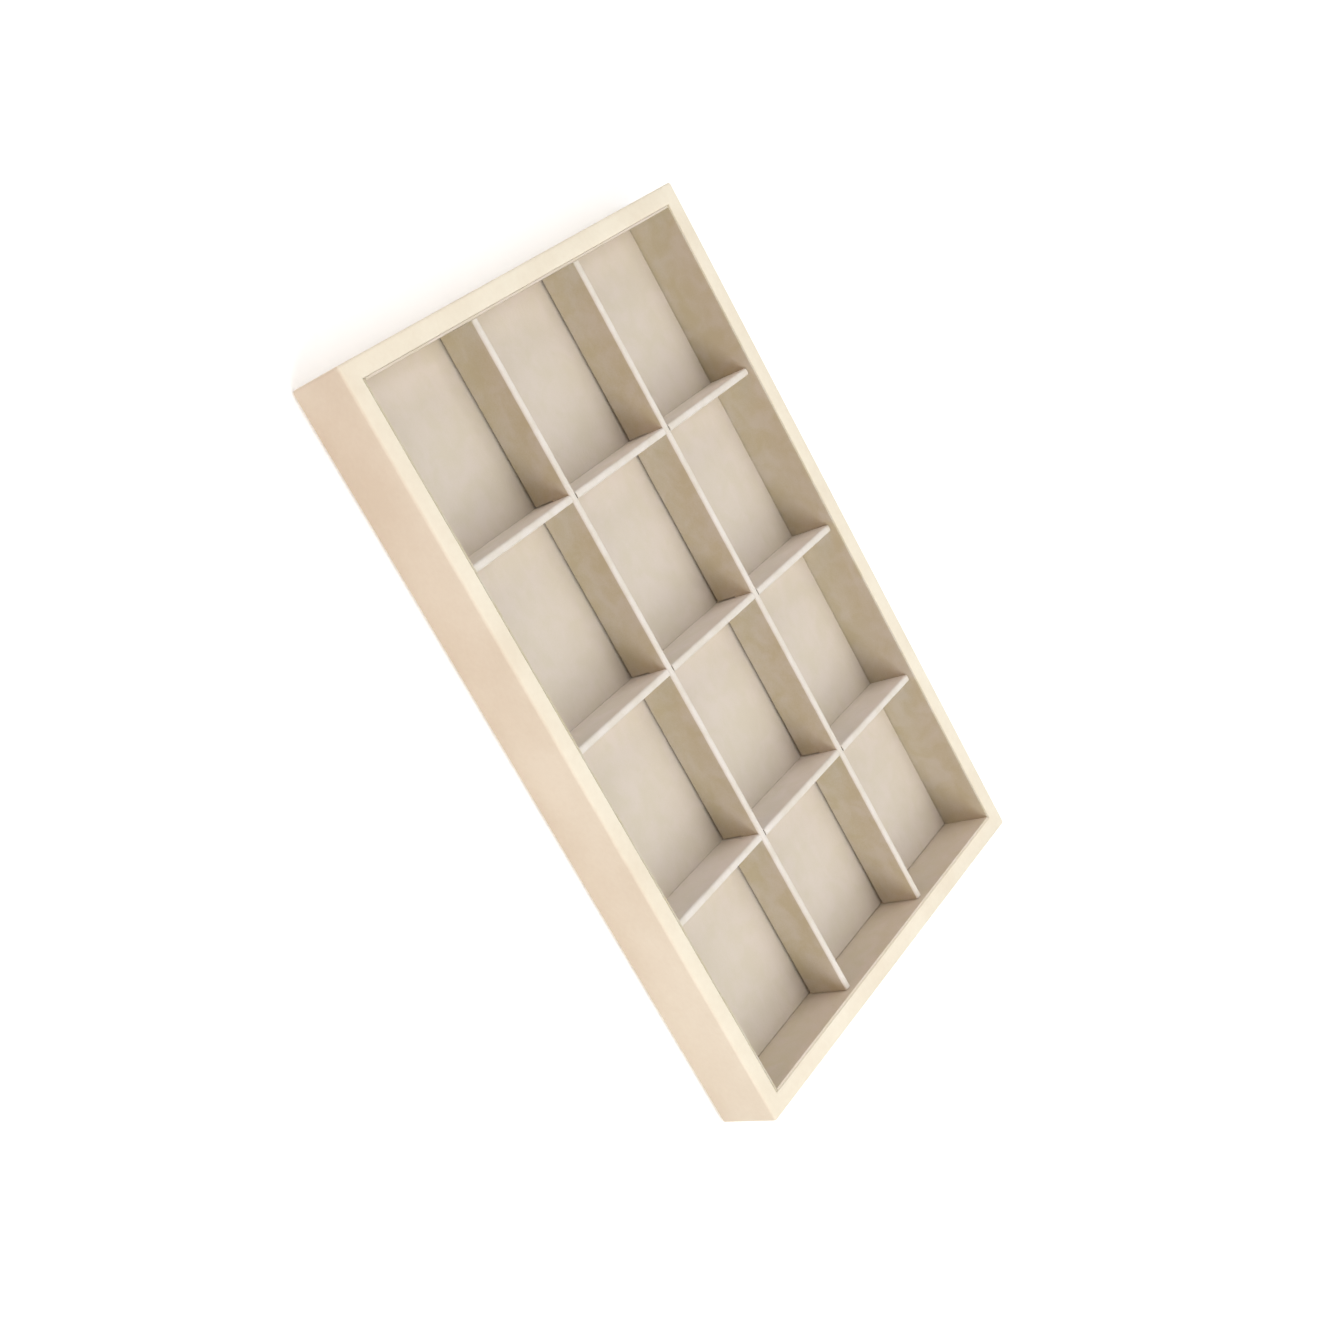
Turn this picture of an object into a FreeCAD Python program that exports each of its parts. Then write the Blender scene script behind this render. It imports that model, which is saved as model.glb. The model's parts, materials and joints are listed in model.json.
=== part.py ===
"""Divided jewelry tray: a wrapped board box, a velvet lining and a drop-in egg-crate of dividers.

Millimetres. The origin is at the middle of the underside, +X runs along the length from the near end
to the far end, +Y runs across from the left wall to the right wall, and +Z is up.
"""

import FreeCAD
import Part
import os

# Overall size of the tray
TRAY_LENGTH = 350.0
TRAY_WIDTH = 225.0
TRAY_HEIGHT = 31.5

# Board box under the wrap
WALL_BOARD_THICKNESS = 7.0
BASE_BOARD_THICKNESS = 3.0
BOARD_CORNER_RADIUS = 0.8
BOARD_RIM_OUTER_RADIUS = 0.4
BOARD_RIM_INNER_RADIUS = 0.2
BOARD_FOOT_RADIUS = 0.4

# Leatherette wrap: outer faces, rim, inner return and turn-under are one skin
WRAP_THICKNESS = 0.8

# Felt sheet under the tray
FELT_THICKNESS = 0.8
FELT_INSET = 3.0
FELT_CORNER_RADIUS = 4.0

# Headless pins across the mitred corners
BRAD_RADIUS = 0.6
BRAD_LENGTH = 16.0
BRAD_SET_DEPTH = 0.4
BRAD_HOLE_CLEARANCE = 0.05
BRAD_EDGE_DISTANCE = 7.0

# Velvet and the card panels that carry it
VELVET_THICKNESS = 0.4
LINER_CARD_THICKNESS = 0.6
LINER_DROP_BELOW_RIM = 0.3
LINER_FIT_GAP = 0.1
FLOOR_CARD_THICKNESS = 1.0
FLOOR_FIT_GAP = 0.1

# Dividers: the cross ones stand on the floor, and the long ones hang in their laps just clear of it
DIVIDER_CORE_THICKNESS = 2.7
DIVIDER_DROP_BELOW_RIM = 3.5
CROSS_FOOT_GAP = 0.1
LONG_FOOT_GAP = 1.5
DIVIDER_END_GAP = 0.3
DIVIDER_FOLD_RADIUS = 1.1
LONG_LAP_SIDE_GAP = 0.5
CROSS_LAP_SIDE_GAP = 0.1
LAP_DEPTH_GAP = 0.1
LONG_DIVIDERS = ("left", "right")
CROSS_DIVIDERS = ("near", "middle", "far")

# Heights of the stacked layers
BASE_BOTTOM = FELT_THICKNESS
BASE_TOP = BASE_BOTTOM + BASE_BOARD_THICKNESS
WALL_BOTTOM = BASE_BOTTOM + WRAP_THICKNESS
WALL_TOP = TRAY_HEIGHT - WRAP_THICKNESS
LINER_TOP = TRAY_HEIGHT - LINER_DROP_BELOW_RIM
FLOOR_TOP = BASE_TOP + FLOOR_CARD_THICKNESS + VELVET_THICKNESS
CROSS_BOTTOM = FLOOR_TOP + CROSS_FOOT_GAP
LONG_BOTTOM = FLOOR_TOP + LONG_FOOT_GAP
DIVIDER_TOP = TRAY_HEIGHT - DIVIDER_DROP_BELOW_RIM

# Depths inwards from the tray's outer faces
BOARD_FACE = WRAP_THICKNESS
BOARD_BACK = BOARD_FACE + WALL_BOARD_THICKNESS
RIM_WIDTH = BOARD_BACK + WRAP_THICKNESS
LINER_FACE = RIM_WIDTH + LINER_CARD_THICKNESS + VELVET_THICKNESS

# Clear room between the lined walls
ROOM_LENGTH = TRAY_LENGTH - 2 * LINER_FACE
ROOM_WIDTH = TRAY_WIDTH - 2 * LINER_FACE
DIVIDER_THICKNESS = DIVIDER_CORE_THICKNESS + 2 * VELVET_THICKNESS
LAP_HEIGHT = (LONG_BOTTOM + DIVIDER_TOP) / 2

# A fold over the top of a divider is rounded to just under half of its thickness at most
FOLD_RADIUS_LIMIT = 0.48

TOLERANCE = 1e-6


def save(name, shape):
    """Writes one piece to its own STEP file."""
    shape.exportStep(os.path.join("parts", name + ".step"))
    print(f"{name}: {len(shape.Solids)} solid(s), {shape.Volume:.1f} mm3, valid {shape.isValid()}")


def slab(x_low, x_high, y_low, y_high, z_low, z_high):
    """Upright box between two corners."""
    corner = FreeCAD.Vector(x_low, y_low, z_low)
    return Part.makeBox(x_high - x_low, y_high - y_low, z_high - z_low, corner)


def inset_block(depth, z_low, z_high):
    """Box on the tray's own plan, drawn in by depth on every side."""
    half_length = TRAY_LENGTH / 2 - depth
    half_width = TRAY_WIDTH / 2 - depth
    return slab(-half_length, half_length, -half_width, half_width, z_low, z_high)


def is_upright(edge):
    """True for an edge that runs along Z."""
    start, end = edge.firstVertex().Point, edge.lastVertex().Point
    return abs(start.x - end.x) < TOLERANCE and abs(start.y - end.y) < TOLERANCE


def edges_at_height(shape, height):
    """Edges that lie flat at one height."""
    return [edge for edge in shape.Edges
            if abs(edge.BoundBox.ZMin - height) < TOLERANCE
            and abs(edge.BoundBox.ZMax - height) < TOLERANCE]


def round_upright_edges(shape, radius):
    """Rounds the vertical corners of a block."""
    return shape.makeFillet(radius, [edge for edge in shape.Edges if is_upright(edge)])


def wall_ring(depth, opening_depth, z_low, z_high, corner_radius, outer_radius, inner_radius, foot_radius):
    """Closed ring of wall, eased along the outer rim, the inner rim and the foot.

    depth and opening_depth are measured inwards from the tray's outer faces.
    """
    block = round_upright_edges(inset_block(depth, z_low, z_high), corner_radius)
    block = block.makeFillet(outer_radius, edges_at_height(block, z_high))
    block = block.makeFillet(foot_radius, edges_at_height(block, z_low))
    ring = block.cut(inset_block(opening_depth, z_low - TRAY_HEIGHT, z_high + TRAY_HEIGHT))
    half_opening = TRAY_LENGTH / 2 - opening_depth
    inner_rim = [edge for edge in edges_at_height(ring, z_high)
                 if max(abs(edge.BoundBox.XMin), abs(edge.BoundBox.XMax)) < half_opening + TOLERANCE]
    return ring.makeFillet(inner_radius, inner_rim)


def board_ring():
    """The four wall boards before the mitres are cut."""
    return wall_ring(BOARD_FACE, BOARD_BACK, WALL_BOTTOM, WALL_TOP, BOARD_CORNER_RADIUS,
                     BOARD_RIM_OUTER_RADIUS, BOARD_RIM_INNER_RADIUS, BOARD_FOOT_RADIUS)


def base_board():
    """Base let in between the walls, flush with the turned-under wrap below."""
    return inset_block(BOARD_BACK, BASE_BOTTOM, BASE_TOP)


def leatherette_wrap():
    """One skin over the walls: outer face, rim, inner return and turn-under."""
    skin = wall_ring(0.0, RIM_WIDTH, BASE_BOTTOM, TRAY_HEIGHT,
                     BOARD_CORNER_RADIUS + WRAP_THICKNESS,
                     BOARD_RIM_OUTER_RADIUS + WRAP_THICKNESS,
                     BOARD_RIM_INNER_RADIUS + WRAP_THICKNESS,
                     BOARD_FOOT_RADIUS + WRAP_THICKNESS)
    return skin.cut(board_ring()).cut(base_board())


def base_cover():
    """Felt sheet under the base, short of the tray's edge."""
    sheet = inset_block(FELT_INSET, 0.0, FELT_THICKNESS)
    return round_upright_edges(sheet, FELT_CORNER_RADIUS)


def mitre_wedge(corners):
    """Upright prism through the walls over a plan outline."""
    points = [FreeCAD.Vector(x, y, 0.0) for x, y in corners]
    outline = Part.makePolygon(points + points[:1])
    return Part.Face(outline).extrude(FreeCAD.Vector(0.0, 0.0, TRAY_HEIGHT))


def wall_boards():
    """Named wall boards, each ending in 45 degree mitres."""
    x_out, y_out = TRAY_LENGTH / 2, TRAY_WIDTH / 2
    x_in, y_in = x_out - RIM_WIDTH, y_out - RIM_WIDTH
    wedges = {
        "left_wall_board": [(-x_out, -y_out), (x_out, -y_out), (x_in, -y_in), (-x_in, -y_in)],
        "right_wall_board": [(-x_out, y_out), (x_out, y_out), (x_in, y_in), (-x_in, y_in)],
        "near_end_board": [(-x_out, -y_out), (-x_out, y_out), (-x_in, y_in), (-x_in, -y_in)],
        "far_end_board": [(x_out, -y_out), (x_out, y_out), (x_in, y_in), (x_in, -y_in)],
    }
    ring = board_ring().cut(brads(BRAD_RADIUS + BRAD_HOLE_CLEARANCE))
    return {name: ring.common(mitre_wedge(corners)) for name, corners in wedges.items()}


def brads(radius):
    """Pins driven across each mitre from the long sides, two to a corner."""
    pins = []
    pin_x = TRAY_LENGTH / 2 - BOARD_FACE - WALL_BOARD_THICKNESS / 2
    pin_y = TRAY_WIDTH / 2 - BOARD_FACE - BRAD_SET_DEPTH
    for z in (WALL_BOTTOM + BRAD_EDGE_DISTANCE, WALL_TOP - BRAD_EDGE_DISTANCE):
        for x in (-pin_x, pin_x):
            for side in (-1, 1):
                head = FreeCAD.Vector(x, side * pin_y, z)
                pins.append(Part.makeCylinder(radius, BRAD_LENGTH, head, FreeCAD.Vector(0, -side, 0)))
    return Part.makeCompound(pins)


def liner(x_low, x_high, y_low, y_high, face):
    """Card panel and its velvet, which covers the panel's face and folds over its top.

    face is the plan direction (x, y) that the velvet looks towards.
    """
    panel = slab(x_low, x_high, y_low, y_high, BASE_TOP, LINER_TOP)
    back = FreeCAD.Vector(-face[0] * VELVET_THICKNESS, -face[1] * VELVET_THICKNESS, -VELVET_THICKNESS)
    card = panel.common(panel.translated(back))
    return card, panel.cut(card)


def liners():
    """Named wall liners: the long ones run full length, the end ones fit between them."""
    x_back, y_back = TRAY_LENGTH / 2 - RIM_WIDTH, TRAY_WIDTH / 2 - RIM_WIDTH
    x_face, y_face = ROOM_LENGTH / 2, ROOM_WIDTH / 2
    y_end = y_face - LINER_FIT_GAP
    x_end = x_back - LINER_FIT_GAP
    return {
        "left_liner": liner(-x_end, x_end, -y_back, -y_face, (0, 1)),
        "right_liner": liner(-x_end, x_end, y_face, y_back, (0, -1)),
        "near_liner": liner(-x_back, -x_face, -y_end, y_end, (1, 0)),
        "far_liner": liner(x_face, x_back, -y_end, y_end, (-1, 0)),
    }


def floor_panel():
    """Floor card and the velvet stretched over its top and edges."""
    half_length, half_width = ROOM_LENGTH / 2 - FLOOR_FIT_GAP, ROOM_WIDTH / 2 - FLOOR_FIT_GAP
    panel = slab(-half_length, half_length, -half_width, half_width, BASE_TOP, FLOOR_TOP)
    card_length, card_width = half_length - VELVET_THICKNESS, half_width - VELVET_THICKNESS
    card = slab(-card_length, card_length, -card_width, card_width, BASE_TOP, FLOOR_TOP - VELVET_THICKNESS)
    return card, panel.cut(card)


def even_places(room, count):
    """Middles of count dividers that part a room into equal cells."""
    cell = (room - count * DIVIDER_THICKNESS) / (count + 1)
    pitch = cell + DIVIDER_THICKNESS
    return [-room / 2 - DIVIDER_THICKNESS / 2 + pitch * (index + 1) for index in range(count)]


def straight_divider(length, bottom):
    """Core and folded cover of a divider along X, before its laps are cut."""
    half_length, half_thickness = length / 2, DIVIDER_THICKNESS / 2
    half_core = DIVIDER_CORE_THICKNESS / 2
    whole = slab(-half_length, half_length, -half_thickness, half_thickness, bottom, DIVIDER_TOP)
    fold = [edge for edge in edges_at_height(whole, DIVIDER_TOP)
            if edge.Length > DIVIDER_THICKNESS + TOLERANCE]
    whole = whole.makeFillet(min(DIVIDER_FOLD_RADIUS, FOLD_RADIUS_LIMIT * DIVIDER_THICKNESS), fold)
    core = slab(-half_length, half_length, -half_core, half_core, bottom, DIVIDER_TOP - VELVET_THICKNESS)
    return core, whole.cut(core)


def lap(place, side_gap, z_low, z_high):
    """Cutter for one half-lap of a divider along X, with a gap on each side of the one that crosses it."""
    half_width = DIVIDER_THICKNESS / 2 + side_gap
    return slab(place - half_width, place + half_width, -DIVIDER_THICKNESS, DIVIDER_THICKNESS, z_low, z_high)


def dividers():
    """Named cores and covers of both sets of dividers, half-lapped where they cross."""
    long_places = even_places(ROOM_WIDTH, len(LONG_DIVIDERS))
    cross_places = even_places(ROOM_LENGTH, len(CROSS_DIVIDERS))
    long_laps = [lap(x, LONG_LAP_SIDE_GAP, LONG_BOTTOM - TRAY_HEIGHT, LAP_HEIGHT) for x in cross_places]
    cross_laps = [lap(y, CROSS_LAP_SIDE_GAP, LAP_HEIGHT - LAP_DEPTH_GAP, DIVIDER_TOP + TRAY_HEIGHT)
                  for y in long_places]
    long_pieces = straight_divider(ROOM_LENGTH - 2 * DIVIDER_END_GAP, LONG_BOTTOM)
    cross_pieces = straight_divider(ROOM_WIDTH - 2 * DIVIDER_END_GAP, CROSS_BOTTOM)
    pieces = {}
    for name, y in zip(LONG_DIVIDERS, long_places):
        for kind, shape in zip(("core", "cover"), long_pieces):
            shape = shape.cut(long_laps)
            pieces[f"long_divider_{name}_{kind}"] = shape.translated(FreeCAD.Vector(0, y, 0))
    for name, x in zip(CROSS_DIVIDERS, cross_places):
        for kind, shape in zip(("core", "cover"), cross_pieces):
            shape = shape.cut(cross_laps)
            shape = shape.rotated(FreeCAD.Vector(0, 0, 0), FreeCAD.Vector(0, 0, 1), 90)
            pieces[f"cross_divider_{name}_{kind}"] = shape.translated(FreeCAD.Vector(x, 0, 0))
    return pieces


def main():
    """Builds every piece of the tray and writes it out."""
    os.makedirs("parts", exist_ok=True)
    save("base_board", base_board())
    for name, board in wall_boards().items():
        save(name, board)
    save("corner_brads", brads(BRAD_RADIUS))
    save("leatherette_wrap", leatherette_wrap())
    save("base_cover", base_cover())
    for name, (card, velvet) in liners().items():
        save(name + "_card", card)
        save(name + "_velvet", velvet)
    card, velvet = floor_panel()
    save("floor_card", card)
    save("floor_velvet", velvet)
    for name, shape in dividers().items():
        save(name, shape)


main()
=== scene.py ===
"""Open jewelry tray: a leatherette-wrapped box, lined with velvet, and a loose egg-crate of dividers.

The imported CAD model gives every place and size. Each skin of cloth or leatherette is modelled here over
the board or card that carries it, and the boards, cards and pins keep their CAD shapes and get their own
finishes. Lengths are in metres, in the CAD frame: +X runs from the near end to the far end, +Y from the left
wall to the right wall, and +Z up out of the open top.
"""
import json
import logging
import math
from dataclasses import dataclass, field
from enum import Enum
from typing import Callable, Iterable, Optional

import bmesh
import bpy
from mathutils import Matrix, Vector, noise


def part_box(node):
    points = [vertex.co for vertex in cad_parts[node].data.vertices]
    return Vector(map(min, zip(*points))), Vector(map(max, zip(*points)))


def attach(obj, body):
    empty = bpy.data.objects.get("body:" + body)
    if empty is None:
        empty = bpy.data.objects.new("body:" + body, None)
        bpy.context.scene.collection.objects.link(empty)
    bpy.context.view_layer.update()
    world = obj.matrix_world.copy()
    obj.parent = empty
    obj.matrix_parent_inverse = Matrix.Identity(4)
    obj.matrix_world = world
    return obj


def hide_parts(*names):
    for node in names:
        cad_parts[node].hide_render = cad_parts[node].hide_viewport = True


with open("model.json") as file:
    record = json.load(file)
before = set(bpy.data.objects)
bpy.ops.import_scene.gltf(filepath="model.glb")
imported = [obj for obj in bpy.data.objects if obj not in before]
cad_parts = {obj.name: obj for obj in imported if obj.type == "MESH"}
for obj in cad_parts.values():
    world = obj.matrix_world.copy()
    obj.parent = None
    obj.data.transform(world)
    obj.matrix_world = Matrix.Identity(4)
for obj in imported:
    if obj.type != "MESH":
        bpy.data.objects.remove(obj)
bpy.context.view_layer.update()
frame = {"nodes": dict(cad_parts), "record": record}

LOG = logging.getLogger("jewelry_tray")
MM = 0.001
UP = Vector((0.0, 0.0, 1.0))
DOWN = -UP
ALONG_X = Vector((1.0, 0.0, 0.0))
ALONG_Y = Vector((0.0, 1.0, 0.0))

# Edges that turn by more than this stay sharp in the smooth shading
SMOOTH_ANGLE = math.radians(40.0)
# A face looks along a direction where the cosine between them is above this
SAME_WAY = 0.99
# A face of a top fold gets the painted highlight where its normal rises by more than this
FOLD_RISE = 0.3
# An edge runs along a direction where this share of its length does
STRAIGHT_SHARE = 0.999
CUT_TOLERANCE = 1e-7
UPRIGHT_TOLERANCE = 1e-6
# How a seed moves the pattern of hollows along each axis
SEED_DRIFT = (1.0, 0.7, 1.3)


def linear(code: str) -> tuple[float, float, float, float]:
    """Turns an sRGB hex colour into a linear one.

    Args:
        code: colour as "#RRGGBB".

    Returns:
        Linear red, green, blue and an alpha of 1.
    """
    parts = [int(code[place:place + 2], 16) / 255.0 for place in (1, 3, 5)]
    red, green, blue = (part / 12.92 if part <= 0.04045 else ((part + 0.055) / 1.055) ** 2.4
                        for part in parts)
    return red, green, blue, 1.0


def per_metre(size_mm: float) -> float:
    """Scale of a texture whose features are size_mm across on Object coordinates in metres."""
    return 1.0 / (size_mm * MM)


def add_node(tree: bpy.types.NodeTree, kind: str, sockets: Optional[dict] = None,
             **settings: object) -> bpy.types.Node:
    """Adds one shader node.

    Args:
        tree: node tree that gets the node.
        kind: Blender's name of the node type.
        sockets: input socket to its value, or to the output socket that feeds it.
        settings: properties of the node itself.

    Returns:
        The new node.
    """
    node = tree.nodes.new(kind)
    for name, value in settings.items():
        setattr(node, name, value)
    for key, value in (sockets or {}).items():
        if isinstance(value, bpy.types.NodeSocket):
            tree.links.new(value, node.inputs[key])
        else:
            node.inputs[key].default_value = value
    return node


def start_material(name: str) -> tuple[bpy.types.Material, bpy.types.NodeTree, bpy.types.NodeSocket]:
    """Starts a node material.

    Args:
        name: name of the real material.

    Returns:
        The material, its empty node tree and the Object coordinates that its patterns read.
    """
    material = bpy.data.materials.new(name)
    material.use_nodes = True
    material.node_tree.nodes.clear()
    coordinates = add_node(material.node_tree, "ShaderNodeTexCoord")
    return material, material.node_tree, coordinates.outputs["Object"]


def two_tone(tree: bpy.types.NodeTree, amount: bpy.types.NodeSocket, dark: str, light: str,
             span: tuple[float, float]) -> bpy.types.NodeSocket:
    """Spreads a pattern between two colours.

    Args:
        tree: node tree of the material.
        amount: the pattern.
        dark: hex colour where the pattern is low.
        light: hex colour where the pattern is high.
        span: pattern values from 0 to 1 at which the colours are reached.

    Returns:
        The colour socket.
    """
    ramp = add_node(tree, "ShaderNodeValToRGB", {"Fac": amount})
    start, end = ramp.color_ramp.elements
    start.position, end.position = span
    start.color = linear(dark)
    end.color = linear(light)
    return ramp.outputs["Color"]


@dataclass(frozen=True)
class Leatherette:
    """Cream PU leatherette, embossed with a fine pebble and rolled satin."""

    # It gives the eye a warm, even cream with a broad soft highlight, a faint cloudy tone and shallow pits
    cream: str = "#ECE3CF"
    cream_deep: str = "#E3D7C1"
    # A real pebble is nearer 0.5 mm, and it is drawn coarser so that it shows
    pebble_mm: float = 0.9
    pore_mm: float = 2.34
    cloud_mm: float = 34.0
    pore_share: float = 0.35
    tone_span: tuple[float, float] = (0.45, 0.90)
    roughness: tuple[float, float] = (0.44, 0.56)
    pebble_crown: float = 2.0
    pebble_share: float = -0.7
    relief_mm: float = 0.06

    def material(self) -> bpy.types.Material:
        """Builds the node material.

        Returns:
            The material.
        """
        material, tree, place = start_material("pu_leatherette_cream")
        pebble = add_node(tree, "ShaderNodeTexVoronoi",
                          {"Vector": place, "Scale": per_metre(self.pebble_mm)}, feature="SMOOTH_F1")
        pores = add_node(tree, "ShaderNodeTexNoise",
                         {"Vector": place, "Scale": per_metre(self.pore_mm), "Detail": 4.0})
        cloud = add_node(tree, "ShaderNodeTexNoise",
                         {"Vector": place, "Scale": per_metre(self.cloud_mm), "Detail": 3.0})
        tone = add_node(tree, "ShaderNodeMath",
                        {0: pores.outputs["Fac"], 1: self.pore_share, 2: cloud.outputs["Fac"]},
                        operation="MULTIPLY_ADD")
        colour = two_tone(tree, tone.outputs[0], self.cream_deep, self.cream, self.tone_span)
        smooth, dull = self.roughness
        rough = add_node(tree, "ShaderNodeMapRange",
                         {"Value": pores.outputs["Fac"], "To Min": smooth, "To Max": dull})
        dome = add_node(tree, "ShaderNodeMath", {0: pebble.outputs["Distance"], 1: self.pebble_crown},
                        operation="POWER")
        relief = add_node(tree, "ShaderNodeMath",
                          {0: dome.outputs[0], 1: self.pebble_share, 2: pores.outputs["Fac"]},
                          operation="MULTIPLY_ADD")
        bump = add_node(tree, "ShaderNodeBump",
                        {"Strength": 0.18, "Distance": self.relief_mm * MM, "Height": relief.outputs[0]})
        shader = add_node(tree, "ShaderNodeBsdfPrincipled",
                          {"Base Color": colour, "Roughness": rough.outputs[0], "IOR": 1.48,
                           "Specular IOR Level": 0.42, "Normal": bump.outputs[0]})
        add_node(tree, "ShaderNodeOutputMaterial", {"Surface": shader.outputs[0]})
        return material


class VelvetLightCopy(Enum):
    """Copies of one velvet for different faces, with the material's name and its deeper and paler colour.

    The floor's copy has the cloth's own tone; the others are painted darker or paler, as painted shade and
    painted light for how the lamps fall on their faces.
    """

    FLOOR_TONE = ("velvet_greige_floor_tone", "#D2C8B7", "#D6CBBF")
    # Painted shade: a darker copy for the long dividers' sides and the side walls, which the lamps light
    # less
    PAINTED_SHADE_SIDES = ("velvet_greige_painted_shade_sides", "#C8BDA1", "#D0C7B7")
    # Painted light: a paler copy for the cross dividers' faces
    PAINTED_LIGHT_CROSS = ("velvet_greige_painted_light_cross", "#DFD6CA", "#E4DAD3")
    # Painted light: a slightly paler, warmer copy for the end walls
    PAINTED_LIGHT_ENDS = ("velvet_greige_painted_light_ends", "#D6CAB4", "#DBCEC0")
    # Painted highlight: a paler copy for the upward faces of the divider tops' folds
    PAINTED_HIGHLIGHT_FOLDS = ("velvet_greige_painted_highlight_fold", "#DCD4C7", "#E4DDD5")


@dataclass(frozen=True)
class Velvet:
    """Greige short-pile velvet, cut on the loom and pressed on to card."""

    # It gives the eye a matt, powdery greige that pales at grazing angles, with soft cloudy patches where
    # the pile has been brushed and a fine grain of tufts
    # Which copy of the cloth: its own tone on the floor, or a copy painted darker or paler as shade and
    # light
    light_copy: VelvetLightCopy
    # Real tufts are about 0.3 mm, and they are drawn coarser so that they show
    tuft_mm: float = 0.7
    stroke_mm: float = 4.5
    patch_mm: float = 11.0
    stroke_stretch: tuple[float, float, float] = (0.45, 1.0, 0.8)
    stroke_turn: float = math.radians(24.0)
    stroke_share: float = 0.35
    tuft_share: float = 0.5
    tone_span: tuple[float, float] = (0.40, 0.60)
    pile_mm: float = 0.16
    swirl_mm: float = 0.4
    sheen_tint: str = "#F3EADD"

    def material(self) -> bpy.types.Material:
        """Builds the node material.

        Returns:
            The material.
        """
        name, deep, pale = self.light_copy.value
        material, tree, place = start_material(name)
        tufts = add_node(tree, "ShaderNodeTexNoise",
                         {"Vector": place, "Scale": per_metre(self.tuft_mm), "Detail": 2.0,
                          "Roughness": 0.6})
        brushed = add_node(tree, "ShaderNodeMapping",
                           {"Vector": place, "Scale": self.stroke_stretch,
                            "Rotation": (0.0, 0.0, self.stroke_turn)})
        strokes = add_node(tree, "ShaderNodeTexNoise",
                           {"Vector": brushed.outputs[0], "Scale": per_metre(self.stroke_mm), "Detail": 3.0})
        patches = add_node(tree, "ShaderNodeTexNoise",
                           {"Vector": place, "Scale": per_metre(self.patch_mm), "Detail": 2.0,
                            "Distortion": 0.6})
        lie = add_node(tree, "ShaderNodeMath",
                       {0: strokes.outputs["Fac"], 1: self.stroke_share, 2: patches.outputs["Fac"]},
                       operation="MULTIPLY_ADD")
        pattern = add_node(tree, "ShaderNodeMath",
                           {0: tufts.outputs["Fac"], 1: self.tuft_share, 2: lie.outputs[0]},
                           operation="MULTIPLY_ADD")
        # The weighted mean of the three patterns, because a colour ramp ends at 1
        tone = add_node(tree, "ShaderNodeMath",
                        {0: pattern.outputs[0], 1: 1.0 + self.stroke_share + self.tuft_share},
                        operation="DIVIDE")
        colour = two_tone(tree, tone.outputs[0], deep, pale, self.tone_span)
        pile = add_node(tree, "ShaderNodeBump",
                        {"Strength": 0.35, "Distance": self.pile_mm * MM, "Height": tufts.outputs["Fac"]})
        swirl = add_node(tree, "ShaderNodeBump",
                         {"Strength": 0.25, "Distance": self.swirl_mm * MM, "Height": strokes.outputs["Fac"],
                          "Normal": pile.outputs[0]})
        shader = add_node(tree, "ShaderNodeBsdfPrincipled",
                          {"Base Color": colour, "Roughness": 0.92, "Specular IOR Level": 0.15,
                           "Sheen Weight": 0.35, "Sheen Roughness": 0.42,
                           "Sheen Tint": linear(self.sheen_tint), "Normal": swirl.outputs[0]})
        add_node(tree, "ShaderNodeOutputMaterial", {"Surface": shader.outputs[0]})
        return material


@dataclass(frozen=True)
class PressedFelt:
    """Beige needle-punched felt, pressed flat."""

    # It gives the eye matted fibres that lie in every direction, with no shine
    pale: str = "#C4B59E"
    deep: str = "#A69680"
    # Real fibres are as fine as hair, and they are drawn coarser so that they show
    fibre_mm: float = 0.5
    fibre_stretch: tuple[float, float, float] = (0.15, 1.0, 1.0)
    layer_turns: tuple[float, float] = (math.radians(35.0), math.radians(-50.0))
    tone_span: tuple[float, float] = (0.42, 0.72)
    relief_mm: float = 0.2

    def material(self) -> bpy.types.Material:
        """Builds the node material.

        Returns:
            The material.
        """
        material, tree, place = start_material("pressed_felt_beige")
        mats = []
        # Two crossed layers of stretched noise read as matted fibres
        for turn in self.layer_turns:
            layer = add_node(tree, "ShaderNodeMapping",
                             {"Vector": place, "Scale": self.fibre_stretch, "Rotation": (0.0, 0.0, turn)})
            mats.append(add_node(tree, "ShaderNodeTexNoise",
                                 {"Vector": layer.outputs[0], "Scale": per_metre(self.fibre_mm),
                                  "Detail": 3.0, "Distortion": 0.8}))
        fibres = add_node(tree, "ShaderNodeMath", {0: mats[0].outputs["Fac"], 1: mats[1].outputs["Fac"]},
                          operation="MAXIMUM")
        colour = two_tone(tree, fibres.outputs[0], self.deep, self.pale, self.tone_span)
        bump = add_node(tree, "ShaderNodeBump",
                        {"Strength": 0.4, "Distance": self.relief_mm * MM, "Height": fibres.outputs[0]})
        shader = add_node(tree, "ShaderNodeBsdfPrincipled",
                          {"Base Color": colour, "Roughness": 0.95, "Specular IOR Level": 0.1,
                           "Sheen Weight": 0.2, "Sheen Roughness": 0.6, "Normal": bump.outputs[0]})
        add_node(tree, "ShaderNodeOutputMaterial", {"Surface": shader.outputs[0]})
        return material


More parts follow.
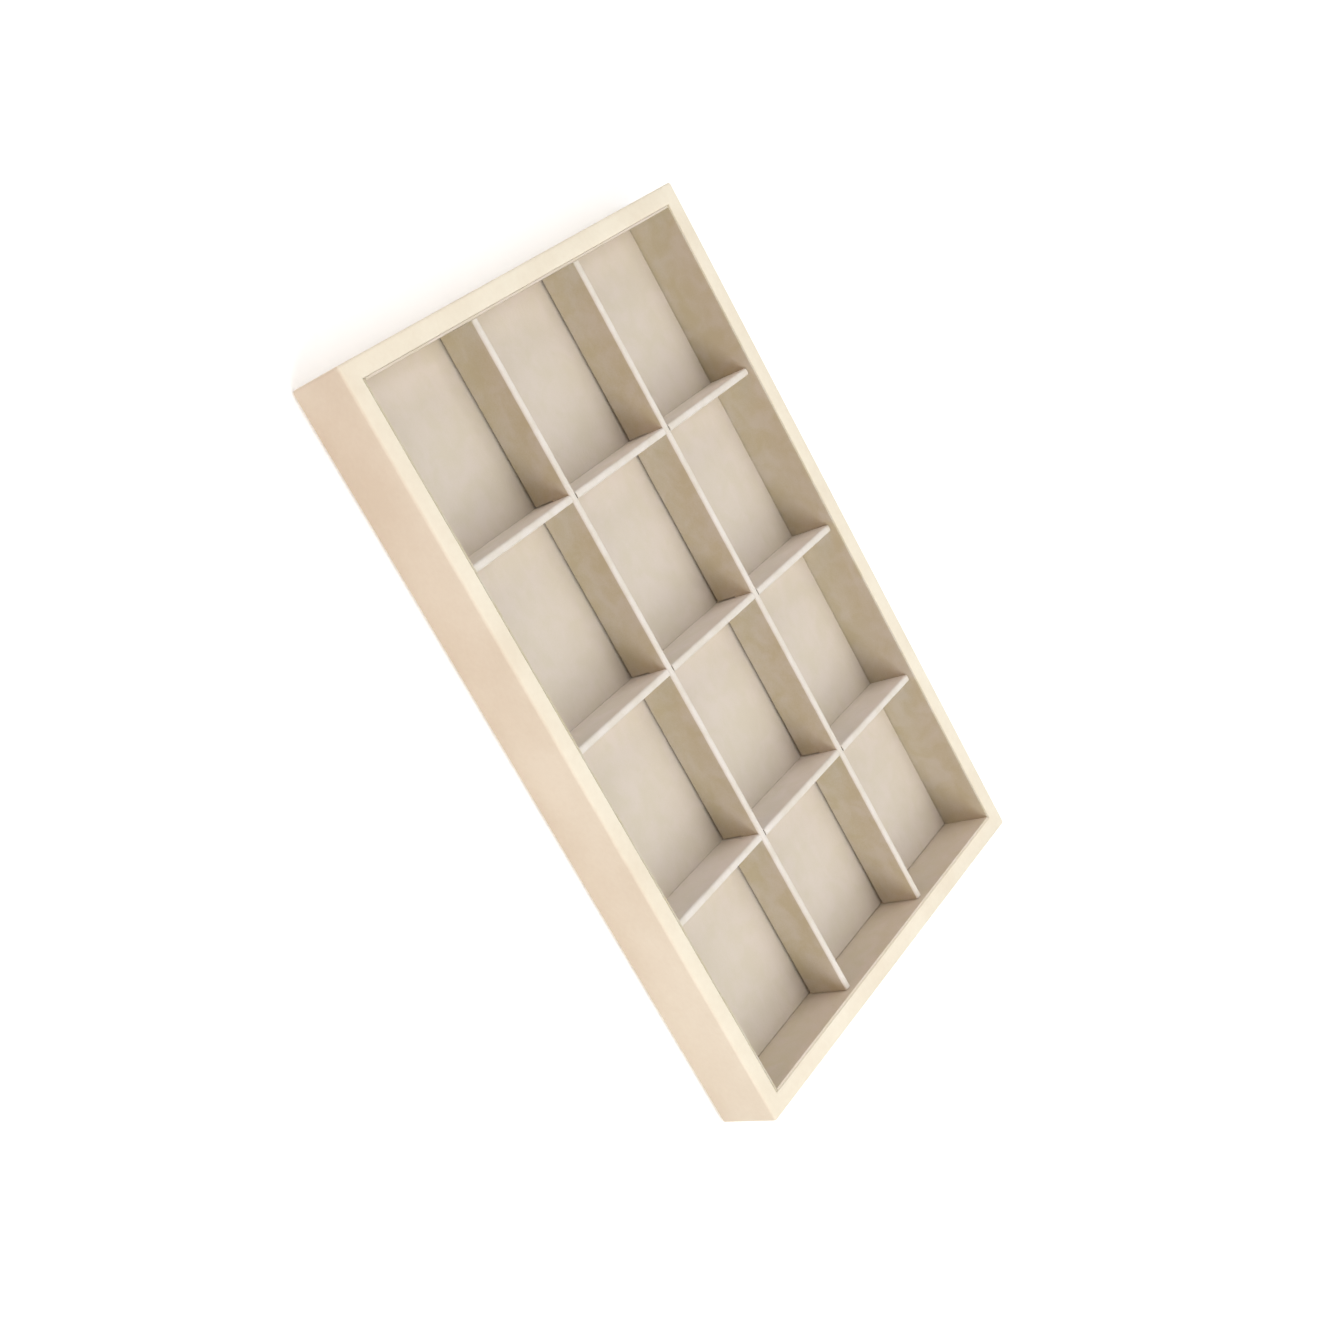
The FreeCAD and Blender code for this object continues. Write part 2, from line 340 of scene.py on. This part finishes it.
@dataclass(frozen=True)
class SpeckledBoard:
    """Pressed board, raw from the sheet."""

    # It gives the eye a dull ground with flecks of fibre and a dry, slightly furry surface
    name: str
    ground: str
    fleck: str
    fleck_mm: float
    fleck_stretch: tuple[float, float, float] = (1.0, 1.0, 2.2)
    tone_span: tuple[float, float] = (0.34, 0.62)
    relief_mm: float = 0.1

    def material(self) -> bpy.types.Material:
        """Builds the node material.

        Returns:
            The material.
        """
        material, tree, place = start_material(self.name)
        pressed = add_node(tree, "ShaderNodeMapping", {"Vector": place, "Scale": self.fleck_stretch})
        flecks = add_node(tree, "ShaderNodeTexNoise",
                          {"Vector": pressed.outputs[0], "Scale": per_metre(self.fleck_mm), "Detail": 5.0,
                           "Roughness": 0.65})
        colour = two_tone(tree, flecks.outputs["Fac"], self.fleck, self.ground, self.tone_span)
        bump = add_node(tree, "ShaderNodeBump",
                        {"Strength": 0.25, "Distance": self.relief_mm * MM, "Height": flecks.outputs["Fac"]})
        shader = add_node(tree, "ShaderNodeBsdfPrincipled",
                          {"Base Color": colour, "Roughness": 0.88, "Specular IOR Level": 0.2,
                           "Normal": bump.outputs[0]})
        add_node(tree, "ShaderNodeOutputMaterial", {"Surface": shader.outputs[0]})
        return material


@dataclass(frozen=True)
class BrightWire:
    """Bright steel wire, drawn through a die."""

    # It gives the eye a grey metal with fine lengthwise marks in its shine
    bright: str = "#C9C8C4"
    dull: str = "#A4A29D"
    # Real die marks are nearer 0.02 mm, and they are drawn coarser so that they show
    die_mark_mm: float = 0.12
    die_mark_stretch: tuple[float, float, float] = (0.05, 1.0, 1.0)
    tone_span: tuple[float, float] = (0.3, 0.7)
    roughness: tuple[float, float] = (0.24, 0.4)

    def material(self) -> bpy.types.Material:
        """Builds the node material.

        Returns:
            The material.
        """
        material, tree, place = start_material("drawn_steel_wire")
        drawn = add_node(tree, "ShaderNodeMapping", {"Vector": place, "Scale": self.die_mark_stretch})
        marks = add_node(tree, "ShaderNodeTexNoise",
                         {"Vector": drawn.outputs[0], "Scale": per_metre(self.die_mark_mm), "Detail": 2.0})
        colour = two_tone(tree, marks.outputs["Fac"], self.dull, self.bright, self.tone_span)
        smooth, dull = self.roughness
        rough = add_node(tree, "ShaderNodeMapRange",
                         {"Value": marks.outputs["Fac"], "To Min": smooth, "To Max": dull})
        shader = add_node(tree, "ShaderNodeBsdfPrincipled",
                          {"Base Color": colour, "Metallic": 1.0, "Roughness": rough.outputs[0]})
        add_node(tree, "ShaderNodeOutputMaterial", {"Surface": shader.outputs[0]})
        return material


def block(low: Vector, high: Vector) -> bmesh.types.BMesh:
    """A box between two corners, as the start of a piece.

    Args:
        low: lowest corner.
        high: highest corner.

    Returns:
        The new bmesh.
    """
    shape = bmesh.new()
    bmesh.ops.create_cube(shape, size=1.0)
    bmesh.ops.scale(shape, vec=high - low, verts=shape.verts)
    bmesh.ops.translate(shape, vec=(low + high) / 2.0, verts=shape.verts)
    return shape


def facing(shape: bmesh.types.BMesh, *directions: Vector) -> list[bmesh.types.BMFace]:
    """Faces of a shape that look along any of the directions.

    Args:
        shape: the shape.
        directions: unit vectors.

    Returns:
        The faces, largest first.
    """
    shape.normal_update()
    found = [face for face in shape.faces if any(face.normal.dot(way) > SAME_WAY for way in directions)]
    return sorted(found, key=lambda face: -face.calc_area())


def keep_only(shape: bmesh.types.BMesh, faces: Iterable[bmesh.types.BMFace]) -> None:
    """Deletes every face of a shape but these."""
    kept = set(faces)
    bmesh.ops.delete(shape, geom=[face for face in shape.faces if face not in kept], context="FACES")


def round_off(shape: bmesh.types.BMesh, edges: list[bmesh.types.BMEdge], radius: float,
              segments: int) -> None:
    """Rounds edges of a shape.

    Args:
        shape: the shape.
        edges: edges to round.
        radius: radius of the rounding.
        segments: facets across it.
    """
    bmesh.ops.bevel(shape, geom=edges, offset=radius, offset_type="OFFSET", segments=segments, profile=0.5,
                    affect="EDGES", material=-1)


def divide(shape: bmesh.types.BMesh, way: Vector, step: float) -> None:
    """Divides the edges that run one way, so that a skin can bend between them.

    Args:
        shape: the shape.
        way: unit vector along the edges.
        step: wanted distance between cuts.
    """
    runs = []
    for edge in shape.edges:
        reach = abs((edge.verts[1].co - edge.verts[0].co).dot(way))
        if reach > max(step, STRAIGHT_SHARE * edge.calc_length()):
            runs.append(edge)
    if runs:
        longest = max(edge.calc_length() for edge in runs)
        bmesh.ops.subdivide_edges(shape, edges=runs, cuts=round(longest / step) - 1, use_grid_fill=True)


def slice_across(shape: bmesh.types.BMesh, places: Iterable[float], way: Vector) -> None:
    """Cuts new edge loops into a shape.

    Args:
        shape: the shape.
        places: distances from the origin along the way.
        way: unit vector square to the cuts.
    """
    for place in places:
        bmesh.ops.bisect_plane(shape, geom=shape.verts[:] + shape.edges[:] + shape.faces[:],
                               dist=CUT_TOLERANCE, plane_co=way * place, plane_no=way)


def number_folds(shape: bmesh.types.BMesh) -> None:
    """Gives the faces that look upwards material number 1, the copy with a painted highlight on a top fold.

    Args:
        shape: the skin, before it gets its thickness.
    """
    shape.normal_update()
    for face in shape.faces:
        face.material_index = int(face.normal.z > FOLD_RISE)


def relax(shape: bmesh.types.BMesh, depth: float, wave: float, seed: float,
          free: Callable[[Vector], bool] = lambda place: True) -> None:
    """Lets a skin sink a little, unevenly, below its drawn surface, as glued cloth does.

    Args:
        shape: the skin, before it gets its thickness.
        depth: deepest hollow.
        wave: size of the hollows.
        seed: shifts the pattern from piece to piece.
        free: whether a point may move.
    """
    shape.normal_update()
    moves = [(vert, vert.normal.copy()) for vert in shape.verts if free(vert.co)]
    shift = Vector([drift * seed for drift in SEED_DRIFT])
    for vert, normal in moves:
        sample = vert.co / wave + shift
        vert.co -= normal * depth * 0.5 * (1.0 + noise.noise(sample))


def thicken(shape: bmesh.types.BMesh, thickness: float) -> None:
    """Gives an open skin its thickness, inwards from the drawn surface."""
    bmesh.ops.solidify(shape, geom=shape.faces[:], thickness=thickness)


def make_piece(name: str, shape: bmesh.types.BMesh, materials: list[bpy.types.Material], body: str,
               stands_for: str) -> bpy.types.Object:
    """Turns a finished bmesh into a piece of the tray.

    Args:
        name: name of the piece.
        shape: finished bmesh, which is freed.
        materials: its materials, in the order of the faces' material numbers.
        body: CAD body that it moves with.
        stands_for: CAD node that it replaces.

    Returns:
        The new object.
    """
    mesh = bpy.data.meshes.new(name)
    shape.to_mesh(mesh)
    shape.free()
    for material in materials:
        mesh.materials.append(material)
    mesh.shade_smooth()
    mesh.set_sharp_from_angle(angle=SMOOTH_ANGLE)
    piece = bpy.data.objects.new(name, mesh)
    bpy.context.scene.collection.objects.link(piece)
    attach(piece, body)
    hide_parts(stands_for)
    return piece


@dataclass
class LeatheretteWrap:
    """One skin over the outer walls, the rim and the inner walls, turned under the base."""

    finish: Leatherette = field(default_factory=Leatherette)
    rim_width: float = 8.6 * MM
    edge_radius: float = 1.2 * MM
    mouth_radius: float = 1.0 * MM
    turn_under: float = 7.8 * MM
    thickness: float = 0.8 * MM
    segments: int = 5
    cut_size: tuple[float, float] = (0.0745, 1.15)

    def skin(self) -> bmesh.types.BMesh:
        """Models the skin around the CAD wrap's box.

        Returns:
            The closed skin.
        """
        low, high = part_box("leatherette_wrap")
        base_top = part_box("base_board")[1].z
        shape = block(low, high)
        round_off(shape, shape.edges[:], self.edge_radius, self.segments)
        mouth = facing(shape, UP)[0]
        bmesh.ops.inset_region(shape, faces=[mouth], thickness=self.rim_width - self.edge_radius,
                               use_boundary=True, use_even_offset=True)
        lip = list(mouth.edges)
        bmesh.ops.delete(shape, geom=[mouth], context="FACES")
        drawn = bmesh.ops.extrude_edge_only(shape, edges=lip)["geom"]
        bmesh.ops.translate(shape, vec=DOWN * (high.z - base_top),
                            verts=[item for item in drawn if isinstance(item, bmesh.types.BMVert)])
        round_off(shape, lip, self.mouth_radius, self.segments)
        sole = facing(shape, DOWN)[0]
        bmesh.ops.inset_region(shape, faces=[sole], thickness=self.turn_under - self.edge_radius,
                               use_boundary=True, use_even_offset=True)
        bmesh.ops.delete(shape, geom=[sole], context="FACES")
        thicken(shape, self.thickness)
        return shape

    def build(self) -> bpy.types.Object:
        """Makes the wrap.

        Returns:
            The piece, one skin round the box that goes from the sole up the wall and over the rim.
        """
        piece = make_piece("leatherette_skin", self.skin(), [self.finish.material()], "tray",
                           "leatherette_wrap")
        return piece


class Wall(Enum):
    """The four lined walls: name, way that the velvet faces, way that the wall runs, seed of its hollows."""

    LEFT = ("left", ALONG_Y, ALONG_X, 14.4)
    RIGHT = ("right", -ALONG_Y, ALONG_X, 13.5)
    NEAR = ("near", ALONG_X, ALONG_Y, 13.4)
    FAR = ("far", -ALONG_X, ALONG_Y, 8.3)


@dataclass
class WallLining:
    """Velvet on the four wall cards: up the face and folded back over the top edge."""

    # The side walls take the darker copy with painted shade, and the end walls the paler copy with painted
    # light
    sides: bpy.types.Material
    ends: bpy.types.Material
    fold_radius: float = 0.4 * MM
    thickness: float = 0.4 * MM
    step: float = 5.0 * MM
    hollow_depth: float = 0.1 * MM
    hollow_size: float = 9.0 * MM
    segments: int = 4

    def skin(self, wall: Wall) -> bmesh.types.BMesh:
        """Models one wall's velvet in its CAD box.

        Args:
            wall: which wall.

        Returns:
            The closed skin.
        """
        name, inwards, along, seed = wall.value
        shape = block(*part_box(f"{name}_liner_velvet"))
        face, top = facing(shape, inwards)[0], facing(shape, UP)[0]
        fold = [edge for edge in face.edges if edge in top.edges[:]]
        keep_only(shape, (face, top))
        round_off(shape, fold, self.fold_radius, self.segments)
        divide(shape, along, self.step)
        divide(shape, UP, self.step)
        relax(shape, self.hollow_depth, self.hollow_size, seed)
        thicken(shape, self.thickness)
        return shape

    def build(self, wall: Wall) -> bpy.types.Object:
        """Makes one wall's velvet.

        Args:
            wall: which wall.

        Returns:
            The piece, over the wall's height with the fold, along the wall's length.
        """
        name, inwards, along, _ = wall.value
        material = self.sides if along == ALONG_X else self.ends
        piece = make_piece(f"{name}_wall_velvet", self.skin(wall), [material], "tray",
                           f"{name}_liner_velvet")
        return piece


@dataclass
class FloorPanel:
    """Velvet stretched over the floor card and turned down round its edges."""

    material: bpy.types.Material
    edge_radius: float = 0.4 * MM
    thickness: float = 0.4 * MM
    step: float = 5.0 * MM
    foot_height: float = 0.1 * MM
    hollow_depth: float = 0.12 * MM
    hollow_size: float = 14.0 * MM
    hollow_seed: float = 5.0
    segments: int = 4

    def skin(self) -> bmesh.types.BMesh:
        """Models the panel's velvet in its CAD box.

        Returns:
            The closed skin.
        """
        low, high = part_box("floor_velvet")
        shape = block(low, high)
        bmesh.ops.delete(shape, geom=facing(shape, DOWN), context="FACES")
        shown = [edge for edge in shape.edges if not edge.is_boundary]
        round_off(shape, shown, self.edge_radius, self.segments)
        divide(shape, ALONG_X, self.step)
        divide(shape, ALONG_Y, self.step)
        foot = low.z + self.foot_height
        relax(shape, self.hollow_depth, self.hollow_size, self.hollow_seed, lambda place: place.z > foot)
        thicken(shape, self.thickness)
        return shape

    def build(self) -> bpy.types.Object:
        """Makes the floor's velvet.

        Returns:
            The piece, the panel with a turn-down on each side.
        """
        piece = make_piece("floor_velvet_sheet", self.skin(), [self.material], "tray",
                           "floor_velvet")
        return piece


class Run(Enum):
    """The two ways that dividers run."""

    LONG = ALONG_X
    CROSS = ALONG_Y


class Divider(Enum):
    """The five dividers: way that it runs, start of its nodes' names, CAD body, seed of its hollows."""

    LONG_LEFT = (Run.LONG, "long_divider_left", "long_divider_left", 70.4)
    LONG_RIGHT = (Run.LONG, "long_divider_right", "long_divider_right", 72.7)
    CROSS_NEAR = (Run.CROSS, "cross_divider_near", "cross_dividers", 75.5)
    CROSS_MIDDLE = (Run.CROSS, "cross_divider_middle", "cross_dividers", 80.1)
    CROSS_FAR = (Run.CROSS, "cross_divider_far", "cross_dividers", 73.2)

    @property
    def run(self) -> Run:
        """Way that the divider runs."""
        return self.value[0]

    @property
    def box(self) -> tuple[Vector, Vector]:
        """Lowest and highest corner of the divider's CAD cover."""
        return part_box(f"{self.value[1]}_cover")


@dataclass
class DividerGrid:
    """Velvet folded over the tops of the five half-lapped dividers."""

    # The long sides take the darker copy with painted shade, the cross sides the paler copy with painted
    # light, and the upward faces of the folds the copy with a painted highlight
    long_sides: bpy.types.Material
    cross_sides: bpy.types.Material
    fold_highlight: bpy.types.Material
    fold_radius: float = 1.1 * MM
    thickness: float = 0.4 * MM
    long_lap_side_gap: float = 0.5 * MM
    cross_lap_side_gap: float = 0.1 * MM
    cross_lap_depth_gap: float = 0.1 * MM
    step: float = 5.0 * MM
    hollow_depth: float = 0.1 * MM
    hollow_size: float = 8.0 * MM
    segments: int = 5

    def laps(self, run: Run) -> list[float]:
        """Places along a divider where the other set crosses it.

        Args:
            run: way that the divider runs.

        Returns:
            Distances from the origin.
        """
        crossing = [divider.box for divider in Divider if divider.run is not run]
        return [((low + high) / 2.0).dot(run.value) for low, high in crossing]

    def cut_laps(self, shape: bmesh.types.BMesh, run: Run) -> None:
        """Cuts the half-laps out of a folded cover.

        Args:
            shape: the cover, before it gets its thickness.
            run: way that the divider runs. The long ones open downwards and the cross ones upwards.
        """
        low, high = Divider.LONG_LEFT.box
        half = (high.y - low.y) / 2.0
        level = (low.z + high.z) / 2.0
        if run is Run.LONG:
            half += self.long_lap_side_gap
        else:
            half += self.cross_lap_side_gap
            level -= self.cross_lap_depth_gap
        way = run.value
        places = self.laps(run)
        slice_across(shape, [level], UP)
        slice_across(shape, [place + side for place in places for side in (-half, half)], way)
        lost = []
        for face in shape.faces:
            centre = face.calc_center_median()
            in_lap = any(abs(centre.dot(way) - place) < half for place in places)
            if in_lap and (centre.z < level) == (run is Run.LONG):
                lost.append(face)
        bmesh.ops.delete(shape, geom=lost, context="FACES")

    def skin(self, divider: Divider) -> bmesh.types.BMesh:
        """Models one divider's velvet in its CAD box.

        Args:
            divider: which divider.

        Returns:
            The closed skin.
        """
        run, _, _, seed = divider.value
        way = run.value
        shape = block(*divider.box)
        bmesh.ops.delete(shape, geom=facing(shape, DOWN, way, -way), context="FACES")
        fold = [edge for edge in shape.edges if not edge.is_boundary]
        round_off(shape, fold, self.fold_radius, self.segments)
        number_folds(shape)
        divide(shape, way, self.step)
        divide(shape, UP, self.step)
        relax(shape, self.hollow_depth, self.hollow_size, seed)
        self.cut_laps(shape, run)
        thicken(shape, self.thickness)
        return shape

    def build(self, divider: Divider) -> bpy.types.Object:
        """Makes one divider's velvet.

        Args:
            divider: which divider.

        Returns:
            The piece, both faces with the top, along the divider's length.
        """
        run, label, body, _ = divider.value
        sides = self.long_sides if run is Run.LONG else self.cross_sides
        piece = make_piece(f"{label}_velvet", self.skin(divider), [sides, self.fold_highlight], body,
                           f"{label}_cover")
        return piece


@dataclass
class BaseFelt:
    """Felt pad glued under the base, over the turned-under edge of the wrap."""

    finish: PressedFelt = field(default_factory=PressedFelt)
    corner_radius: float = 4.0 * MM
    corner_segments: int = 6
    edge_radius: float = 0.25 * MM
    edge_segments: int = 2

    def skin(self) -> bmesh.types.BMesh:
        """Models the pad in its CAD box.

        Returns:
            The closed pad.
        """
        shape = block(*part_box("base_cover"))
        upright = [edge for edge in shape.edges
                   if abs(edge.verts[0].co.z - edge.verts[1].co.z) > UPRIGHT_TOLERANCE]
        round_off(shape, upright, self.corner_radius, self.corner_segments)
        rims = [edge for face in facing(shape, UP, DOWN)[:2] for edge in face.edges]
        round_off(shape, rims, self.edge_radius, self.edge_segments)
        return shape

    def build(self) -> bpy.types.Object:
        """Makes the pad.

        Returns:
            The piece.
        """
        piece = make_piece("underside_felt", self.skin(), [self.finish.material()], "tray",
                           "base_cover")
        return piece


@dataclass
class BoardsAndPins:
    """The boards, cards, divider cores and pins under the skins, in their CAD shapes."""

    fibreboard: SpeckledBoard = SpeckledBoard("medium_density_fibreboard", "#AE8C66", "#8A6A48", 0.9)
    greyboard: SpeckledBoard = SpeckledBoard("recycled_greyboard", "#9C958A", "#79736A", 0.6)
    wire: BrightWire = field(default_factory=BrightWire)

    def dress(self) -> list[bpy.types.Object]:
        """Gives each CAD node that still shows its finish, by the record's material slots.

        Returns:
            The dressed nodes.
        """
        finishes = {"fibreboard": self.fibreboard.material(), "greyboard": self.greyboard.material(),
                    "steel": self.wire.material()}
        dressed = []
        for subpart in frame["record"]["subparts"]:
            material = finishes.get(subpart["material_slot"])
            if material is None:
                continue
            node = frame["nodes"][subpart["node"]]
            node.data.materials.clear()
            node.data.materials.append(material)
            dressed.append(node)
        return dressed


@dataclass
class PhotoCamera:
    """Camera at the photograph's viewing angle, from a fit of the tray's corners and crossings."""

    place: Vector = field(default_factory=lambda: Vector((-0.17177, -0.54118, 0.54495)))
    forward: Vector = field(default_factory=lambda: Vector((0.22576, 0.68017, -0.69743)))
    right: Vector = field(default_factory=lambda: Vector((0.47593, 0.54765, 0.68816)))
    lens: float = 48.0
    sensor: float = 36.0
    clip_start: float = 0.01

    def build(self) -> bpy.types.Object:
        """Makes the camera and gives it to the scene.

        Returns:
            The camera.
        """
        data = bpy.data.cameras.new("photo_camera")
        data.sensor_fit = "HORIZONTAL"
        data.sensor_width = self.sensor
        data.lens = self.lens
        data.clip_start = self.clip_start
        camera = bpy.data.objects.new("photo_camera", data)
        back = -self.forward.normalized()
        up = back.cross(self.right).normalized()
        right = up.cross(back)
        turn = Matrix((right, up, back)).transposed().to_4x4()
        camera.matrix_world = Matrix.Translation(self.place) @ turn
        bpy.context.scene.collection.objects.link(camera)
        bpy.context.scene.camera = camera
        return camera


@dataclass(frozen=True)
class Softbox:
    """One square lamp: its place, what it looks at, its side, its power and the colour of its light."""

    name: str
    place: tuple[float, float, float]
    aim: tuple[float, float, float]
    side: float
    watts: float
    colour: str = "#FFFFFF"

    def hang(self) -> bpy.types.Object:
        """Makes the lamp.

        Returns:
            The lamp.
        """
        data = bpy.data.lights.new(self.name, "AREA")
        data.shape = "SQUARE"
        data.size = self.side
        data.energy = self.watts
        data.color = linear(self.colour)[:3]
        lamp = bpy.data.objects.new(self.name, data)
        place = Vector(self.place)
        turn = (Vector(self.aim) - place).to_track_quat("-Z", "Y").to_matrix().to_4x4()
        lamp.matrix_world = Matrix.Translation(place) @ turn
        bpy.context.scene.collection.objects.link(lamp)
        return lamp


TRAY_MIDDLE = (0.0, 0.0, 0.02)
# The underside's lamp shines through the floor's opening, and the reflector warms the left wall
LAMPS = (
    Softbox("far_softbox", (1.5, -1.1, 1.6), TRAY_MIDDLE, 1.6, 38.8),
    Softbox("overhead_softbox", (0.0, 0.1, 2.2), TRAY_MIDDLE, 1.8, 22.9),
    Softbox("near_fill", (-2.0, 0.5, 1.1), TRAY_MIDDLE, 1.6, 16.3),
    Softbox("cool_right_fill", (0.5, 1.7, 1.3), TRAY_MIDDLE, 1.5, 6.5, "#E8F4FF"),
    Softbox("underside_softbox", (0.3, -0.3, -1.8), (0.0, 0.0, 0.0), 1.2, 22.0),
    Softbox("warm_left_reflector", (-0.55, -1.3, 0.22), (-0.1, 0.0, 0.02), 0.6, 2.6, "#FF9A5C"),
)


@dataclass
class Studio:
    """Pale floor, white surround and soft lamps."""

    floor_size: float = 12.0
    floor_colour: str = "#E6E4E2"
    # The grain of real paper is finer, and it is drawn coarser so that it shows
    fleck_mm: float = 2.0
    glow_reach: tuple[float, float] = (0.45, 1.3)
    glow: tuple[float, float] = (0.30, 1.0)
    opening: tuple[float, float] = (0.347, 0.222)
    surround: str = "#FFFFFF"
    world_strength: float = 0.15
    lamps: tuple[Softbox, ...] = LAMPS

    def seen_rays(self, tree: bpy.types.NodeTree) -> bpy.types.NodeSocket:
        """Tells the rays that show the background from the rays that light by it.

        Args:
            tree: node tree of the background.

        Returns:
            Socket that is 1 where the camera, a reflection or glass looks at it, and 0 for other light.
        """
        path = add_node(tree, "ShaderNodeLightPath")
        shown = add_node(tree, "ShaderNodeMath",
                         {0: path.outputs["Is Camera Ray"], 1: path.outputs["Is Glossy Ray"]},
                         operation="MAXIMUM")
        seen = add_node(tree, "ShaderNodeMath",
                        {0: shown.outputs[0], 1: path.outputs["Is Transmission Ray"]}, operation="MAXIMUM")
        return seen.outputs[0]

    def paper(self) -> bpy.types.Material:
        """Builds the floor's finish: pale paper, whitened where it is seen, and more so further out.

        Returns:
            The node material. It still takes the tray's shadow, and the camera sees through it from below.
        """
        material, tree, place = start_material("studio_paper")
        fleck = add_node(tree, "ShaderNodeTexNoise", {"Vector": place, "Scale": per_metre(self.fleck_mm)})
        colour = two_tone(tree, fleck.outputs["Fac"], self.floor_colour, self.surround, (0.0, 1.0))
        paper = add_node(tree, "ShaderNodeBsdfDiffuse", {"Color": colour})
        distance = add_node(tree, "ShaderNodeVectorMath", {0: place}, operation="LENGTH")
        level = add_node(tree, "ShaderNodeMapRange",
                         {"Value": distance.outputs["Value"],
                          "From Min": self.glow_reach[0], "From Max": self.glow_reach[1],
                          "To Min": self.glow[0], "To Max": self.glow[1]})
        strength = add_node(tree, "ShaderNodeMath", {0: self.seen_rays(tree), 1: level.outputs[0]},
                            operation="MULTIPLY")
        glow = add_node(tree, "ShaderNodeEmission",
                        {"Color": linear(self.surround), "Strength": strength.outputs[0]})
        front = add_node(tree, "ShaderNodeAddShader", {0: paper.outputs[0], 1: glow.outputs[0]})
        clear = add_node(tree, "ShaderNodeBsdfTransparent")
        side = add_node(tree, "ShaderNodeNewGeometry")
        path = add_node(tree, "ShaderNodeLightPath")
        from_below = add_node(tree, "ShaderNodeMath",
                              {0: side.outputs["Backfacing"], 1: path.outputs["Is Camera Ray"]},
                              operation="MULTIPLY")
        both = add_node(tree, "ShaderNodeMixShader",
                        {0: from_below.outputs[0], 1: front.outputs[0], 2: clear.outputs[0]})
        add_node(tree, "ShaderNodeOutputMaterial", {"Surface": both.outputs[0]})
        return material

    def floor(self) -> bpy.types.Object:
        """Makes the floor, open under the tray's foot so that a lamp below can show the underside.

        Returns:
            The floor.
        """
        shape = bmesh.new()
        bmesh.ops.create_grid(shape, x_segments=1, y_segments=1, size=self.floor_size / 2.0)
        hole = shape.faces[:][0]
        bmesh.ops.inset_region(shape, faces=[hole], thickness=self.floor_size / 4.0, use_boundary=True,
                               use_even_offset=True)
        for vert in hole.verts:
            vert.co.x = math.copysign(self.opening[0] / 2.0, vert.co.x)
            vert.co.y = math.copysign(self.opening[1] / 2.0, vert.co.y)
        bmesh.ops.delete(shape, geom=[hole], context="FACES")
        mesh = bpy.data.meshes.new("studio_floor")
        shape.to_mesh(mesh)
        shape.free()
        mesh.materials.append(self.paper())
        floor = bpy.data.objects.new("studio_floor", mesh)
        bpy.context.scene.collection.objects.link(floor)
        return floor

    def surroundings(self) -> bpy.types.World:
        """Makes the even white surround, plain white where it is seen.

        Returns:
            The world, given to the scene.
        """
        world = bpy.data.worlds.new("studio_surround")
        world.use_nodes = True
        tree = world.node_tree
        tree.nodes.clear()
        level = add_node(tree, "ShaderNodeMapRange",
                         {"Value": self.seen_rays(tree), "To Min": self.world_strength, "To Max": 1.0})
        sky = add_node(tree, "ShaderNodeBackground",
                       {"Color": linear(self.surround), "Strength": level.outputs[0]})
        add_node(tree, "ShaderNodeOutputWorld", {"Surface": sky.outputs[0]})
        bpy.context.scene.world = world
        return world

    def build(self) -> None:
        """Makes the floor, the surround and the lamps, and sets the plain view transform."""
        bpy.context.scene.view_settings.view_transform = "Standard"
        self.floor()
        self.surroundings()
        for lamp in self.lamps:
            lamp.hang()


def report(piece: bpy.types.Object) -> None:
    """Logs one finished piece with its faces and finishes."""
    finishes = ", ".join(material.name for material in piece.data.materials)
    LOG.info("%s: %d faces, %s", piece.name, len(piece.data.polygons), finishes)


def main() -> None:
    """Builds the camera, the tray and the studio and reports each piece."""
    logging.basicConfig(level=logging.INFO, format="%(message)s")
    PhotoCamera().build()
    # The darker velvet copy carries painted shade, and the paler copies painted light and a painted
    # highlight
    shaded_side_velvet = Velvet(VelvetLightCopy.PAINTED_SHADE_SIDES).material()
    lit_cross_velvet = Velvet(VelvetLightCopy.PAINTED_LIGHT_CROSS).material()
    report(LeatheretteWrap().build())
    lining = WallLining(shaded_side_velvet, Velvet(VelvetLightCopy.PAINTED_LIGHT_ENDS).material())
    for wall in Wall:
        report(lining.build(wall))
    report(FloorPanel(Velvet(VelvetLightCopy.FLOOR_TONE).material()).build())
    grid = DividerGrid(shaded_side_velvet, lit_cross_velvet, Velvet(VelvetLightCopy.PAINTED_HIGHLIGHT_FOLDS).material())
    for divider in Divider:
        report(grid.build(divider))
    report(BaseFelt().build())
    for node in BoardsAndPins().dress():
        report(node)
    Studio().build()
    bpy.context.view_layer.update()


if __name__ == "__main__":
    main()
